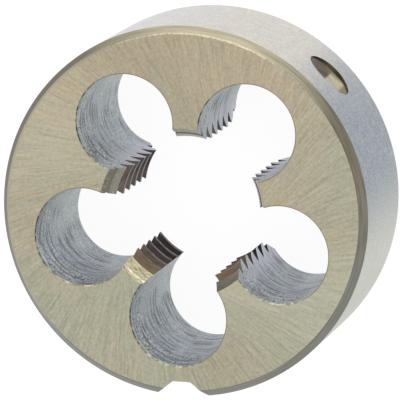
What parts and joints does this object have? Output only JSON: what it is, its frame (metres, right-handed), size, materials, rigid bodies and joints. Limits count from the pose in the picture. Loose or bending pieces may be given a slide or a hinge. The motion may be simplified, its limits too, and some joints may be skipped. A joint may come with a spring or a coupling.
{
  "type": "round threading die",
  "caption": "Thick round steel die with chip holes around a threaded bore, lead bevels at both faces, an adjusting notch and two screw seats in the rim.",
  "frame": {"origin": "middle of the flat back face, on the die's axis", "axes": "+Z along the die's axis, out of the front face where the long lead opens; -Y towards the adjusting notch in the rim"},
  "size_m": [0.045, 0.0448, 0.018],
  "materials": {
    "tool_steel": "ground and lightly bronzed tool steel, fine grinding lines across the faces"
  },
  "bodies": {
    "root": {"die_body": "tool_steel"}
  },
  "joints": []
}
